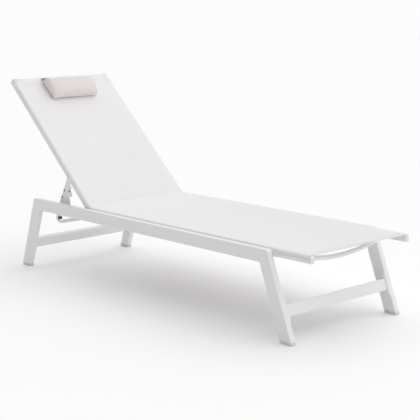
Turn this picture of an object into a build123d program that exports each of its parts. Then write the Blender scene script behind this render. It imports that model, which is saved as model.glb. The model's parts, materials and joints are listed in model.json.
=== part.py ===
from build123d import *
import os
from math import atan2, cos, radians, sin, tan

# Reclining sun lounger, millimetres. +X runs to the foot end, +Y to the lounger's left
# (as seen by the person lying on it), +Z up. The floor is z = 0 and the backrest is raised.

# ---- driving dimensions -----------------------------------------------------------------
datum_x = 9.8  # x of the middle of the side rails, so that the origin is mid-length

frame_width = 548.0  # over the outer faces of the two side frames
frame_height = 302.0
rail_length = 1400.0  # top edge of a side rail, mitre corner to mitre corner
rail_depth = 46.0
tube_thickness = 23.0  # of side rails and legs, across the lounger
tube_wall = 2.0
tube_corner = 2.5
mitre_rounding = 9.0  # radius of the rounded outer corner where a rail meets a leg
leg_splay = 114.0  # how far a foot stands outside the top mitre corner
leg_foot_length = 53.0  # leg's horizontal cut length
cap_height = 12.0
cap_plug = 22.0

crossbar_height = 42.0
crossbar_thickness = 20.0
front_crossbar_z = 100.0
front_crossbar_ahead = 10.0  # ahead of the front legs' centre line
rear_crossbar_z = 104.0
plate_length = 80.0
plate_width = 27.0
plate_thickness = 4.0
plate_bolt_offset = 31.0

sling_rail_width = 17.0
sling_rail_depth = 27.0
sling_rail_top = 304.0
sling_rail_wall = 1.8
sling_rail_corner = 3.5
sling_rail_shoulder = 8.0  # radius of the rounded top outer edge that the sling lies on
rail_gap = 7.0  # between a side rail's inner face and its seat rail
keder_bore = 3.0  # radius of the groove that holds the sling's edge rod
keder_drop = 12.0  # groove centre below the rail's top
keder_inset = 5.0  # groove centre inboard of the rail's outer face
keder_slot = 2.2
keder_rod = 2.3
end_cap_flange = 3.0
seat_end_x = datum_x + 869.0
seat_rear_x = datum_x - 318.0

hinge_x = datum_x - 340.0
hinge_z = sling_rail_top - sling_rail_depth / 2
back_angle = 42.4
back_length = 732.0
back_heel = 11.0  # back rail below the hinge axis
back_side_play = 0.5

spreader_radius = 8.0
spreader_bow = 38.0
foot_spreader_x = datum_x + 770.0
rear_spreader_x = datum_x - 240.0
lower_bar_s = 50.0
top_bar_radius = 10.0

spacer_length = 50.0
spacer_bolt_x = (datum_x + 680.0, datum_x + 190.0, datum_x - 212.0)
spacer_offset = 18.0  # spacer's middle ahead of its bolt

prop_pivot_s = 205.0
prop_pivot_n = -2.0
prop_reach = 263.0  # pivot to the crossbar of the U-shaped prop
prop_lean = 30.8  # degrees from vertical
prop_tube_radius = 8.0
prop_tube_wall = 1.5
prop_bend = 36.0
prop_plate_thickness = 3.0
prop_rivets_along = (90.0, 125.0, 162.0)
plate_rivet_x = -10.0  # a rivet through each plate alone, from the prop's pivot
plate_rivet_z = -78.0
prop_stop_along = 226.0
prop_stop_radius = 6.5
prop_stop_length = 14.0
ratchet_pin_x = datum_x - 508.0
ratchet_pin_radius = 6.0

sling_clear = 0.3
sling_thickness = 1.0
pillow_half_width = 122.0
pillow_low = 588.0
pillow_high = 702.0
pillow_thickness = 46.0
strap_half_width = 120.0

# ---- places worked out from them --------------------------------------------------------
outer_y = frame_width / 2
inner_y = outer_y - tube_thickness
tube_y = outer_y - tube_thickness / 2
splay_angle = atan2(leg_splay, frame_height)
slope = leg_splay / frame_height
leg_width = leg_foot_length * cos(splay_angle)
seat_outer_y = inner_y - rail_gap
seat_inner_y = seat_outer_y - sling_rail_width
seat_rail_y = (seat_outer_y + seat_inner_y) / 2
back_rail_y = seat_rail_y + back_side_play
back_inner_y = seat_inner_y + back_side_play
half_depth = sling_rail_depth / 2
spacer_bolt_z = hinge_z - 4
ratchet_pin_z = sling_rail_top - sling_rail_depth - ratchet_pin_radius - sling_clear

angle = radians(back_angle)
back_frame = Plane(
    origin=(hinge_x, 0, hinge_z),
    x_dir=(cos(angle), 0, -sin(angle)),
    z_dir=(sin(angle), 0, cos(angle)),
)
SIDES = (("right", -1), ("left", 1))
ENDS = (("front", 1), ("rear", -1))


def back_point(s, y, n):
    """A point s up the backrest from the hinge axis, and n above its centre plane."""
    return back_frame.from_local_coords((-s, y, n))


def back_section(s):
    """Section plane across the backrest: local X is +Y, local Y is the surface normal."""
    return Plane(origin=back_point(s, 0, 0), x_dir=(0, 1, 0), z_dir=back_frame.x_dir)


def seat_section(x):
    """Section plane across the seat, at the height of the hinge axis."""
    return Plane(origin=(x, 0, hinge_z), x_dir=(0, 1, 0), z_dir=(1, 0, 0))


def side_view(y):
    """Plane of a side view at y: local X is +X, local Y is +Z, and it faces -Y."""
    return Plane(origin=(0, y, 0), x_dir=(1, 0, 0), z_dir=(0, -1, 0))


def leg_centre(end, z):
    """A point on a leg's centre line, in side view."""
    reach = rail_length / 2 - leg_foot_length / 2 + slope * (frame_height - z)
    return datum_x + end * reach, z


def bar_centre(end):
    """Where a crossbar's centre line meets its legs, in side view."""
    if end == -1:
        return leg_centre(end, rear_crossbar_z)
    x, z = leg_centre(end, front_crossbar_z)
    return x + front_crossbar_ahead * cos(splay_angle), z + front_crossbar_ahead * sin(splay_angle)


def leg_section(end, side, z):
    """Section plane square to a leg, with local X across the leg's broad side."""
    x, z = leg_centre(end, z)
    down = (end * sin(splay_angle), 0, -cos(splay_angle))
    return Plane(origin=(x, side * tube_y, z), x_dir=(0, 1, 0), z_dir=down)


def mitre(end):
    """Plane of the mitre between a side rail and a leg, facing the leg."""
    run = leg_foot_length - slope * rail_depth
    corner = (datum_x + end * rail_length / 2, 0, frame_height)
    return Plane(origin=corner, x_dir=(0, 1, 0), z_dir=(end * rail_depth, 0, -run))


def round_mitre_corner(end, side):
    """Rounds off the outer corner where a side rail turns down into a leg."""
    half_turn = (radians(90) - splay_angle) / 2
    run = mitre_rounding * tan(half_turn)
    corner = (datum_x + end * rail_length / 2, frame_height)
    on_rail = (corner[0] - end * run, frame_height)
    on_leg = (corner[0] + end * run * sin(splay_angle), frame_height - run * cos(splay_angle))
    with BuildSketch(side_view(side * tube_y)) as waste:
        with BuildLine():
            Polyline(corner, on_rail, on_leg, close=True)
        make_face()
        with Locations((on_rail[0], frame_height - mitre_rounding)):
            Circle(mitre_rounding, mode=Mode.SUBTRACT)
    extrude(waste.sketch, amount=tube_thickness, both=True, mode=Mode.SUBTRACT)


def save(part, name):
    part.label = name
    export_step(part, f"parts/{name}.step")


def dome_bolt(head, into, radius, length, head_radius, head_height):
    """A dome-headed bolt with a hexagon socket; head is the centre of its bearing face."""
    into = Vector(*into)
    across = Vector(1, 0, 0)
    rim_height = head_height * 0.4
    with BuildSketch(Plane(origin=head, x_dir=across, z_dir=-into)) as shank:
        Circle(radius)
    extrude(shank.sketch, amount=-length)
    with BuildSketch(Plane(origin=head, x_dir=across, z_dir=-into)) as head_base:
        Circle(head_radius)
    extrude(head_base.sketch, amount=rim_height)
    rim = Vector(*head) - into * rim_height
    with BuildSketch(Plane(origin=rim, x_dir=across, z_dir=-into)) as head_rim:
        Circle(head_radius)
    extrude(head_rim.sketch, amount=head_height - rim_height, taper=45)
    top = Vector(*head) - into * head_height
    with BuildSketch(Plane(origin=top, x_dir=across, z_dir=into)) as socket:
        RegularPolygon(radius=head_radius * 0.42, side_count=6)
    extrude(socket.sketch, amount=head_height * 0.55, mode=Mode.SUBTRACT)


def sling_rail_outline(side, centre_y):
    """Outer shape of a sling rail: a rounded rectangle with a larger top outer shoulder."""
    outer = centre_y + sling_rail_width / 2
    with Locations((side * centre_y, 0)):
        RectangleRounded(sling_rail_width, sling_rail_depth, sling_rail_corner)
    shoulder = sling_rail_shoulder
    with Locations((side * (outer - shoulder / 2), half_depth - shoulder / 2)):
        Rectangle(shoulder, shoulder, mode=Mode.SUBTRACT)
    with Locations((side * (outer - shoulder), half_depth - shoulder)):
        Circle(shoulder)


def sling_rail_profile(side, centre_y):
    """Extrusion for the sling: the outline, a hollow, and a groove in the outer face."""
    sling_rail_outline(side, centre_y)
    outer = side * (centre_y + sling_rail_width / 2)
    groove_y = outer - side * keder_inset
    groove_z = half_depth - keder_drop
    hollow_height = sling_rail_depth - keder_drop - keder_bore - 2 * sling_rail_wall
    hollow_z = -half_depth + sling_rail_wall + hollow_height / 2
    with Locations((side * centre_y, hollow_z)):
        RectangleRounded(
            sling_rail_width - 2 * sling_rail_wall, hollow_height, 1.5, mode=Mode.SUBTRACT
        )
    with Locations((groove_y, groove_z)):
        Circle(keder_bore, mode=Mode.SUBTRACT)
    with Locations((outer - side * keder_inset / 2, groove_z)):
        Rectangle(keder_inset, keder_slot, mode=Mode.SUBTRACT)


def plug_profile(side, centre_y):
    """Plug of a sling rail's end cap, which fits the rail's hollow."""
    hollow_height = sling_rail_depth - keder_drop - keder_bore - 2 * sling_rail_wall
    with Locations((side * centre_y, -half_depth + sling_rail_wall + hollow_height / 2)):
        RectangleRounded(sling_rail_width - 2 * sling_rail_wall - 0.6, hollow_height - 0.6, 1.4)


os.makedirs("parts", exist_ok=True)

# ---- side frames: rail, two splayed legs, and a foot cap on each leg ----------------------
for side_name, side in SIDES:
    with BuildPart() as side_rail:
        start = datum_x - rail_length / 2 - 10
        rail_plane = Plane(
            origin=(start, side * tube_y, frame_height - rail_depth / 2),
            x_dir=(0, 1, 0),
            z_dir=(1, 0, 0),
        )
        with BuildSketch(rail_plane):
            RectangleRounded(tube_thickness, rail_depth, tube_corner)
            RectangleRounded(
                tube_thickness - 2 * tube_wall,
                rail_depth - 2 * tube_wall,
                1,
                mode=Mode.SUBTRACT,
            )
        extrude(amount=rail_length + 20)
        split(bisect_by=mitre(1), keep=Keep.BOTTOM)
        split(bisect_by=mitre(-1), keep=Keep.BOTTOM)
        for end in (-1, 1):
            round_mitre_corner(end, side)
        with BuildSketch(side_view(side * inner_y)):
            for bolt_x in spacer_bolt_x:
                with Locations((bolt_x, spacer_bolt_z)):
                    Circle(3.05)
            with Locations((ratchet_pin_x, ratchet_pin_z)):
                Circle(4.05)
        extrude(amount=2 * tube_wall, both=True, mode=Mode.SUBTRACT)
    save(side_rail.part, f"side_rail_{side_name}")

    for end_name, end in ENDS:
        with BuildPart() as leg:
            with BuildSketch(leg_section(end, side, frame_height + 30)):
                RectangleRounded(tube_thickness, leg_width, tube_corner)
                RectangleRounded(
                    tube_thickness - 2 * tube_wall,
                    leg_width - 2 * tube_wall,
                    1,
                    mode=Mode.SUBTRACT,
                )
            extrude(amount=frame_height + 80)
            split(bisect_by=mitre(end), keep=Keep.TOP)
            split(bisect_by=Plane.XY.offset(cap_height), keep=Keep.TOP)
            round_mitre_corner(end, side)
            bolt_x, bolt_z = bar_centre(end)
            with BuildSketch(side_view(side * inner_y)):
                for along in (-plate_bolt_offset, plate_bolt_offset):
                    dx = end * sin(splay_angle) * along
                    with Locations((bolt_x + dx, bolt_z - cos(splay_angle) * along)):
                        Circle(3.05)
            extrude(amount=2 * tube_wall, both=True, mode=Mode.SUBTRACT)
        save(leg.part, f"{end_name}_leg_{side_name}")

        with BuildPart() as foot_cap:
            with BuildSketch(leg_section(end, side, 60)):
                RectangleRounded(tube_thickness, leg_width, tube_corner)
            extrude(amount=100)
            split(bisect_by=Plane.XY, keep=Keep.TOP)
            split(bisect_by=Plane.XY.offset(cap_height), keep=Keep.BOTTOM)
            fillet(foot_cap.edges().group_by(Axis.Z)[0], 2.2)
            with BuildSketch(leg_section(end, side, cap_height + cap_plug)):
                Rectangle(tube_thickness - 2 * tube_wall - 0.6, leg_width - 2 * tube_wall - 0.6)
            extrude(amount=cap_plug + 5)
        save(foot_cap.part, f"foot_cap_{end_name}_{side_name}")

# ---- crossbars, their end plates and bolts -------------------------------------------------
for end_name, end in ENDS:
    bar_x, bar_z = bar_centre(end)
    along_leg = (end * sin(splay_angle), 0, -cos(splay_angle))
    with BuildPart() as crossbar:
        bar_half = inner_y - plate_thickness
        with BuildSketch(Plane(origin=(bar_x, -bar_half, bar_z), x_dir=along_leg, z_dir=(0, 1, 0))):
            RectangleRounded(crossbar_height, crossbar_thickness, 2)
            RectangleRounded(
                crossbar_height - 2 * tube_wall,
                crossbar_thickness - 2 * tube_wall,
                1,
                mode=Mode.SUBTRACT,
            )
        extrude(amount=2 * bar_half)
    save(crossbar.part, f"{end_name}_crossbar")

    for side_name, side in SIDES:
        with BuildPart() as end_plate:
            plate_plane = Plane(
                origin=(bar_x, side * inner_y, bar_z), x_dir=along_leg, z_dir=(0, -side, 0)
            )
            with BuildSketch(plate_plane):
                RectangleRounded(plate_length, plate_width, 5)
                with Locations((-plate_bolt_offset, 0), (plate_bolt_offset, 0)):
                    Circle(3.05, mode=Mode.SUBTRACT)
            extrude(amount=plate_thickness)
        save(end_plate.part, f"crossbar_plate_{end_name}_{side_name}")

with BuildPart() as crossbar_bolts:
    for end_name, end in ENDS:
        bar_x, bar_z = bar_centre(end)
        for side_name, side in SIDES:
            for along in (-plate_bolt_offset, plate_bolt_offset):
                x = bar_x + end * sin(splay_angle) * along
                z = bar_z - cos(splay_angle) * along
                head = (x, side * (inner_y - plate_thickness), z)
                dome_bolt(head, (0, side, 0), 3, 16, 5.8, 3.6)
save(crossbar_bolts.part, "crossbar_bolts")

# ---- seat rails, their caps, spacers, spreaders and edge rods -------------------------------
for side_name, side in SIDES:
    rail_end = seat_end_x - end_cap_flange
    with BuildPart() as seat_rail:
        with BuildSketch(seat_section(seat_rear_x + 2)):
            sling_rail_profile(side, seat_rail_y)
        extrude(amount=rail_end - seat_rear_x - 2)
        with BuildSketch(side_view(side * seat_rail_y)):
            for bolt_x in spacer_bolt_x:
                with Locations((bolt_x, spacer_bolt_z)):
                    Circle(3.05)
            for screw_x in (seat_rear_x + 16, seat_rear_x + 40):
                with Locations((screw_x, hinge_z - 5)):
                    Circle(2.55)
        extrude(amount=sling_rail_width, both=True, mode=Mode.SUBTRACT)
    save(seat_rail.part, f"seat_rail_{side_name}")

    with BuildPart() as seat_end_cap:
        with BuildSketch(seat_section(rail_end)):
            sling_rail_outline(side, seat_rail_y)
        extrude(amount=end_cap_flange)
        fillet(seat_end_cap.edges().group_by(Axis.X)[-1], 1)
        with BuildSketch(seat_section(rail_end)):
            plug_profile(side, seat_rail_y)
        extrude(amount=-18)
    save(seat_end_cap.part, f"seat_rail_cap_front_{side_name}")

    with BuildPart() as seat_rear_cap:
        with BuildSketch(seat_section(seat_rear_x)):
            sling_rail_outline(side, seat_rail_y)
        extrude(amount=2)
        with BuildSketch(seat_section(seat_rear_x + 2)):
            plug_profile(side, seat_rail_y)
        extrude(amount=8)
    save(seat_rear_cap.part, f"seat_rail_cap_rear_{side_name}")

    with BuildPart() as seat_keder:
        groove_y = side * (seat_outer_y - keder_inset)
        with BuildSketch(seat_section(seat_rear_x + 6)):
            with Locations((groove_y, half_depth - keder_drop)):
                Circle(keder_rod)
        extrude(amount=rail_end - seat_rear_x - 10)
    save(seat_keder.part, f"seat_edge_rod_{side_name}")

    with BuildPart() as seat_spacers:
        for bolt_x in spacer_bolt_x:
            with BuildSketch(side_view(side * seat_outer_y)):
                with Locations((bolt_x + spacer_offset, spacer_bolt_z)):
                    RectangleRounded(spacer_length, 15, 2)
                with Locations((bolt_x, spacer_bolt_z)):
                    Circle(3.05, mode=Mode.SUBTRACT)
            extrude(amount=-side * rail_gap)
    save(seat_spacers.part, f"seat_spacers_{side_name}")

    with BuildPart() as hinge_plate:
        with BuildSketch(side_view(side * seat_inner_y)):
            with BuildLine():
                Polyline(
                    (hinge_x, hinge_z - 12.5),
                    (seat_rear_x + 56, hinge_z - 12.5),
                    (seat_rear_x + 56, hinge_z + 4),
                    (seat_rear_x + 44, hinge_z + 12.5),
                    (hinge_x, hinge_z + 12.5),
                )
                RadiusArc((hinge_x, hinge_z + 12.5), (hinge_x, hinge_z - 12.5), -12.5)
            make_face()
            with Locations((hinge_x, hinge_z)):
                Circle(4.05, mode=Mode.SUBTRACT)
            with Locations((seat_rear_x + 16, hinge_z - 5), (seat_rear_x + 40, hinge_z - 5)):
                Circle(2.55, mode=Mode.SUBTRACT)
        extrude(amount=side * 4)
    save(hinge_plate.part, f"hinge_plate_{side_name}")

with BuildPart() as seat_spacer_bolts:
    for side_name, side in SIDES:
        for bolt_x in spacer_bolt_x:
            head = (bolt_x, side * seat_inner_y, spacer_bolt_z)
            dome_bolt(head, (0, side, 0), 3, sling_rail_width + rail_gap + 9, 5.4, 3.2)
save(seat_spacer_bolts.part, "seat_spacer_bolts")

with BuildPart() as hinge_plate_screws:
    for side_name, side in SIDES:
        for screw_x in (seat_rear_x + 16, seat_rear_x + 40):
            head = (screw_x, side * (seat_inner_y - 4), hinge_z - 5)
            dome_bolt(head, (0, side, 0), 2.5, 14, 4.6, 2.8)
save(hinge_plate_screws.part, "hinge_plate_screws")

for side_name, side in SIDES:
    with BuildPart() as hinge_bolt:
        head = (hinge_x, side * (seat_inner_y - 4), hinge_z)
        dome_bolt(head, (0, side, 0), 4, 4 + sling_rail_width / 2 + 0.2, 7.5, 4.2)
    save(hinge_bolt.part, f"hinge_bolt_{side_name}")

    with BuildPart() as ratchet_pin:
        pin_plane = Plane(
            origin=(ratchet_pin_x, side * inner_y, ratchet_pin_z),
            x_dir=(1, 0, 0),
            z_dir=(0, -side, 0),
        )
        with BuildSketch(pin_plane):
            Circle(10)
        extrude(amount=3)
        pin_tip = inner_y - (back_inner_y - 1.7) - 0.5
        with BuildSketch(pin_plane):
            Circle(ratchet_pin_radius)
        extrude(amount=pin_tip)
        chamfer(ratchet_pin.edges().sort_by(Axis.Y)[-side // 2], 0.8)
        with BuildSketch(pin_plane):
            Circle(4)
        extrude(amount=-12)
    save(ratchet_pin.part, f"ratchet_pin_{side_name}")


def spreader_path(plane, half, low):
    """Shallow arc that dips between two rails."""
    over = 6
    with BuildLine(plane) as path:
        ThreePointArc((-half - over, -2), (0, low), (half + over, -2))
    return path


for spreader_name, spreader_x in (
    ("foot_spreader", foot_spreader_x),
    ("seat_rear_spreader", rear_spreader_x),
):
    with BuildPart() as spreader:
        section = seat_section(spreader_x)
        path = spreader_path(section, seat_inner_y, -spreader_bow)
        with BuildSketch(Plane(origin=path.line @ 0, z_dir=path.line % 0)):
            Circle(spreader_radius)
            Circle(spreader_radius - 1.5, mode=Mode.SUBTRACT)
        sweep(path=path.line)
        split(bisect_by=Plane.XZ.offset(-seat_inner_y), keep=Keep.TOP)
        split(bisect_by=Plane.XZ.offset(seat_inner_y), keep=Keep.BOTTOM)
    save(spreader.part, spreader_name)

# ---- backrest: rails, caps, bars, bushes and edge rods ---------------------------------------
prop_pivot = back_point(prop_pivot_s, 0, prop_pivot_n)
for side_name, side in SIDES:
    cap_depth = 10
    with BuildPart() as back_rail:
        with BuildSketch(back_section(back_length - cap_depth)):
            sling_rail_profile(side, back_rail_y)
        extrude(amount=back_length - cap_depth + back_heel)
        with BuildSketch(side_view(side * back_rail_y)):
            with Locations((hinge_x, hinge_z)):
                Circle(5.52)
        extrude(amount=side * 7, mode=Mode.SUBTRACT)
        with BuildSketch(side_view(side * back_rail_y)):
            with Locations((hinge_x, hinge_z)):
                Circle(5.52)
        extrude(amount=side * 9, mode=Mode.SUBTRACT)
        with BuildSketch(side_view(side * back_rail_y)):
            with Locations((prop_pivot.X, prop_pivot.Z)):
                Circle(4.05)
        extrude(amount=side * 9, mode=Mode.SUBTRACT)
    save(back_rail.part, f"back_rail_{side_name}")

    with BuildPart() as back_cap:
        with BuildSketch(back_section(back_length - cap_depth)):
            sling_rail_outline(side, back_rail_y)
        extrude(amount=-cap_depth)
        fillet(back_cap.faces().sort_by(Axis.Z)[-1].edges(), 3)
        with BuildSketch(back_section(back_length - cap_depth)):
            plug_profile(side, back_rail_y)
        extrude(amount=15)
    save(back_cap.part, f"back_rail_cap_{side_name}")

    with BuildPart() as back_bush:
        with BuildSketch(side_view(side * (back_inner_y + 0.1))):
            with Locations((hinge_x, hinge_z)):
                Circle(5.5)
                Circle(4.06, mode=Mode.SUBTRACT)
        extrude(amount=-side * 8)
    save(back_bush.part, f"hinge_bush_{side_name}")

    with BuildPart() as back_keder:
        with BuildSketch(back_section(back_length - cap_depth - 4)):
            with Locations((side * (seat_outer_y + back_side_play - keder_inset), half_depth - keder_drop)):
                Circle(keder_rod)
        extrude(amount=back_length - cap_depth - 22)
    save(back_keder.part, f"back_edge_rod_{side_name}")

with BuildPart() as back_top_bar:
    top_bar_s = back_length - 1 - top_bar_radius
    bar_start = back_point(top_bar_s, -back_inner_y, half_depth - top_bar_radius - 0.5)
    with BuildSketch(Plane(origin=bar_start, x_dir=back_frame.x_dir, z_dir=(0, 1, 0))):
        Circle(top_bar_radius)
        Circle(top_bar_radius - 1.5, mode=Mode.SUBTRACT)
    extrude(amount=2 * back_inner_y)
save(back_top_bar.part, "back_top_bar")

with BuildPart() as back_lower_bar:
    path = spreader_path(back_section(lower_bar_s), back_inner_y, -spreader_bow)
    with BuildSketch(Plane(origin=path.line @ 0, z_dir=path.line % 0)):
        Circle(spreader_radius)
        Circle(spreader_radius - 1.5, mode=Mode.SUBTRACT)
    sweep(path=path.line)
    split(bisect_by=Plane.XZ.offset(-back_inner_y), keep=Keep.TOP)
    split(bisect_by=Plane.XZ.offset(back_inner_y), keep=Keep.BOTTOM)
save(back_lower_bar.part, "back_lower_bar")

# ---- prop: U-shaped tube with a notched plate on each leg ------------------------------------
lean = radians(prop_lean)
down_x, down_z = -sin(lean), -cos(lean)
plate_outer_y = back_inner_y - 1.7
plate_inner_y = plate_outer_y - prop_plate_thickness
prop_tube_y = plate_inner_y - 0.1 - prop_tube_radius


def prop_point(along, y):
    return (prop_pivot.X + down_x * along, y, prop_pivot.Z + down_z * along)


with BuildPart() as prop_tube:
    with BuildLine() as prop_path:
        FilletPolyline(
            prop_point(-8, -prop_tube_y),
            prop_point(prop_reach, -prop_tube_y),
            prop_point(prop_reach, prop_tube_y),
            prop_point(-8, prop_tube_y),
            radius=prop_bend,
        )
    with BuildSketch(Plane(origin=prop_path.line @ 0, z_dir=prop_path.line % 0)):
        Circle(prop_tube_radius)
        Circle(prop_tube_radius - prop_tube_wall, mode=Mode.SUBTRACT)
    sweep(path=prop_path.line)
    with BuildSketch(side_view(0)):
        with Locations((prop_pivot.X, prop_pivot.Z)):
            Circle(4.06)
        for along in prop_rivets_along:
            x, _, z = prop_point(along, 0)
            with Locations((x, z)):
                Circle(2.55)
    extrude(amount=frame_width / 2, both=True, mode=Mode.SUBTRACT)
save(prop_tube.part, "prop_tube")

# Outline of a notched plate below its rounded head, as (x, z) from the prop's pivot. The
# downward-facing steps are the notches that catch the ratchet pin.
notch_outline = (
    (11, -5), (1, -16), (-5, -53), (2, -61), (-2, -74), (6, -90), (5.5, -97),
    (-16, -102), (-13, -116), (-9, -132), (-1, -146), (-2, -154.4), (-19, -154.4),
    (-19, -171), (-27, -181), (-112, -178), (-11, -5),
)
for side_name, side in SIDES:
    with BuildPart() as prop_plate:
        with BuildSketch(side_view(side * plate_outer_y)):
            with BuildLine():
                outline = [(prop_pivot.X + dx, prop_pivot.Z + dz) for dx, dz in notch_outline]
                Polyline(*outline)
                Line(outline[-1], outline[0])
            make_face()
            with Locations((prop_pivot.X, prop_pivot.Z)):
                Circle(12)
            with Locations((prop_pivot.X, prop_pivot.Z)):
                Circle(4.06, mode=Mode.SUBTRACT)
            with Locations((prop_pivot.X + plate_rivet_x, prop_pivot.Z + plate_rivet_z)):
                Circle(2.55, mode=Mode.SUBTRACT)
            for along in prop_rivets_along:
                x, _, z = prop_point(along, 0)
                with Locations((x, z)):
                    Circle(2.55, mode=Mode.SUBTRACT)
        extrude(amount=side * prop_plate_thickness)
    save(prop_plate.part, f"prop_plate_{side_name}")



def rivet(x, z, side, grip):
    """A rivet through grip millimetres, inwards from a plate's outer face."""
    outside = side * plate_outer_y
    inside = side * (plate_outer_y - grip)
    with BuildSketch(Plane(origin=(x, outside, z), x_dir=(1, 0, 0), z_dir=(0, -side, 0))) as shank:
        Circle(2.5)
    extrude(shank.sketch, amount=grip)
    with BuildSketch(Plane(origin=(x, outside, z), x_dir=(1, 0, 0), z_dir=(0, side, 0))) as outer_head:
        Circle(4)
    extrude(outer_head.sketch, amount=1.0, taper=20)
    with BuildSketch(Plane(origin=(x, inside, z), x_dir=(1, 0, 0), z_dir=(0, -side, 0))) as inner_head:
        Circle(4)
    extrude(inner_head.sketch, amount=1.4, taper=20)


with BuildPart() as prop_rivets:
    for side_name, side in SIDES:
        for along in prop_rivets_along:
            x, _, z = prop_point(along, 0)
            rivet(x, z, side, prop_plate_thickness + 0.1 + 2 * prop_tube_radius)
        rivet(prop_pivot.X + plate_rivet_x, prop_pivot.Z + plate_rivet_z, side, prop_plate_thickness)
save(prop_rivets.part, "prop_rivets")

# Rubber stops on the front of the prop's legs, just above its bends.
for side_name, side in SIDES:
    with BuildPart() as prop_stop:
        x, _, z = prop_point(prop_stop_along, 0)
        reach = prop_tube_radius + prop_stop_radius + 0.1
        with BuildSketch(side_view(side * (prop_tube_y + prop_stop_length / 2))):
            with Locations((x + reach * cos(lean), z - reach * sin(lean))):
                Circle(prop_stop_radius)
        extrude(amount=side * prop_stop_length)
        chamfer(prop_stop.edges().filter_by(GeomType.CIRCLE), 1.0)
    save(prop_stop.part, f"prop_stop_{side_name}")

with BuildPart() as prop_pivot_bolts:
    for side_name, side in SIDES:
        head_y = prop_tube_y - prop_tube_radius - 0.2
        head = (prop_pivot.X, side * head_y, prop_pivot.Z)
        dome_bolt(head, (0, side, 0), 4, back_inner_y - head_y + 7.5, 7, 4)
save(prop_pivot_bolts.part, "prop_pivot_bolts")

with BuildPart() as prop_washers:
    for side_name, side in SIDES:
        with BuildSketch(side_view(side * back_inner_y)):
            with Locations((prop_pivot.X, prop_pivot.Z)):
                Circle(9)
                Circle(4.1, mode=Mode.SUBTRACT)
        extrude(amount=side * 1.4)
save(prop_washers.part, "prop_washers")


# ---- soft pieces: plain closed solids of the right size and place ----------------------------
def sling_section(half_width, under, skirt):
    """Thin cloth section over both rails, with its edges turned down outside them."""
    over = under + sling_thickness
    out = half_width + sling_clear + sling_thickness
    with BuildLine() as outline:
        Polyline(
            (-out, skirt), (-out, over), (out, over), (out, skirt),
            (out - sling_thickness, skirt), (out - sling_thickness, under),
            (-out + sling_thickness, under), (-out + sling_thickness, skirt),
            close=True,
        )
    make_face(outline.edges())


sling_under = half_depth + sling_clear
skirt_low = half_depth - keder_drop + 2
with BuildPart() as seat_sling:
    with BuildSketch(seat_section(seat_rear_x + 4)):
        sling_section(seat_outer_y, sling_under, skirt_low)
    extrude(amount=seat_end_x - end_cap_flange - seat_rear_x - 4)
save(seat_sling.part, "seat_sling")

with BuildPart() as back_sling:
    with BuildSketch(back_section(back_length - 10.5)):
        sling_section(seat_outer_y + back_side_play, sling_under, skirt_low)
    extrude(amount=back_length - 10.5 - 16)
    with BuildSketch(back_section(back_length + 0.6)):
        with Locations((0, sling_under + sling_thickness / 2)):
            Rectangle(2 * back_inner_y - 1, sling_thickness)
    extrude(amount=11.1)
    with BuildSketch(back_section(back_length + 0.6)):
        with Locations((0, 4)):
            Rectangle(2 * back_inner_y - 1, 2 * (sling_under + sling_thickness - 4))
    extrude(amount=sling_thickness)
save(back_sling.part, "back_sling")

with BuildPart() as headrest_pillow:
    pillow_mid = (pillow_low + pillow_high) / 2
    pillow_n = sling_under + sling_thickness + sling_clear + pillow_thickness / 2
    pillow_start = back_point(pillow_mid, -pillow_half_width, pillow_n)
    with BuildSketch(Plane(origin=pillow_start, x_dir=back_frame.x_dir, z_dir=(0, 1, 0))):
        RectangleRounded(pillow_high - pillow_low, pillow_thickness, pillow_thickness * 0.45)
    extrude(amount=2 * pillow_half_width)
    fillet(headrest_pillow.faces().filter_by(Axis.Y).edges(), 12)
save(headrest_pillow.part, "headrest_pillow")

with BuildPart() as headrest_strap:
    strap_over = sling_under + sling_thickness + sling_clear
    strap_top = back_length + 0.6 + sling_clear
    strap_under = -top_bar_radius + 1
    strap_plane = Plane(
        origin=back_point(0, -strap_half_width, 0), x_dir=-back_frame.x_dir, z_dir=(0, 1, 0)
    )
    with BuildSketch(strap_plane):
        with BuildLine():
            Polyline(
                (pillow_high + 1, strap_over),
                (strap_top, strap_over),
                (strap_top, strap_under),
                (back_length - 90, strap_under),
                (back_length - 90, strap_under - sling_thickness),
                (strap_top + sling_thickness, strap_under - sling_thickness),
                (strap_top + sling_thickness, strap_over + sling_thickness),
                (pillow_high + 1, strap_over + sling_thickness),
                close=True,
            )
        make_face()
    extrude(amount=2 * strap_half_width)
save(headrest_strap.part, "headrest_strap")
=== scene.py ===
import json
import math

import bmesh
import bpy
from mathutils import Matrix, Vector
from mathutils.bvhtree import BVHTree


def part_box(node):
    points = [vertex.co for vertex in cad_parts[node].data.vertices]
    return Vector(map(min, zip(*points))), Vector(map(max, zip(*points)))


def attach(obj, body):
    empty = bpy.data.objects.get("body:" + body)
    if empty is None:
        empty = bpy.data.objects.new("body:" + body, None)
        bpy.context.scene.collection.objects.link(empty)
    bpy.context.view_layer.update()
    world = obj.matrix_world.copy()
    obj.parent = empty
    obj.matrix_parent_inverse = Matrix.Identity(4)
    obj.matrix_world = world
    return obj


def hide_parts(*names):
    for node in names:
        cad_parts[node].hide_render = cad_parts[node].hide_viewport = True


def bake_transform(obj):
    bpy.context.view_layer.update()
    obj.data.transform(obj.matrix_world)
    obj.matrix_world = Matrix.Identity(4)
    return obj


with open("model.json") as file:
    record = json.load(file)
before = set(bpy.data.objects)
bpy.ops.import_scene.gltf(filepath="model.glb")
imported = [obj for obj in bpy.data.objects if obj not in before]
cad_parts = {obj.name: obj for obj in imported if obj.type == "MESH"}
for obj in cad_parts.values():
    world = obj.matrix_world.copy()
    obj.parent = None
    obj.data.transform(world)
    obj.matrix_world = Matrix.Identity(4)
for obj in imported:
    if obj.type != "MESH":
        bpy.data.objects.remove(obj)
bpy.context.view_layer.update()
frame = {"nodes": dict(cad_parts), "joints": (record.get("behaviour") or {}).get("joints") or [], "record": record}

X_AXIS = Vector((1, 0, 0))
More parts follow.
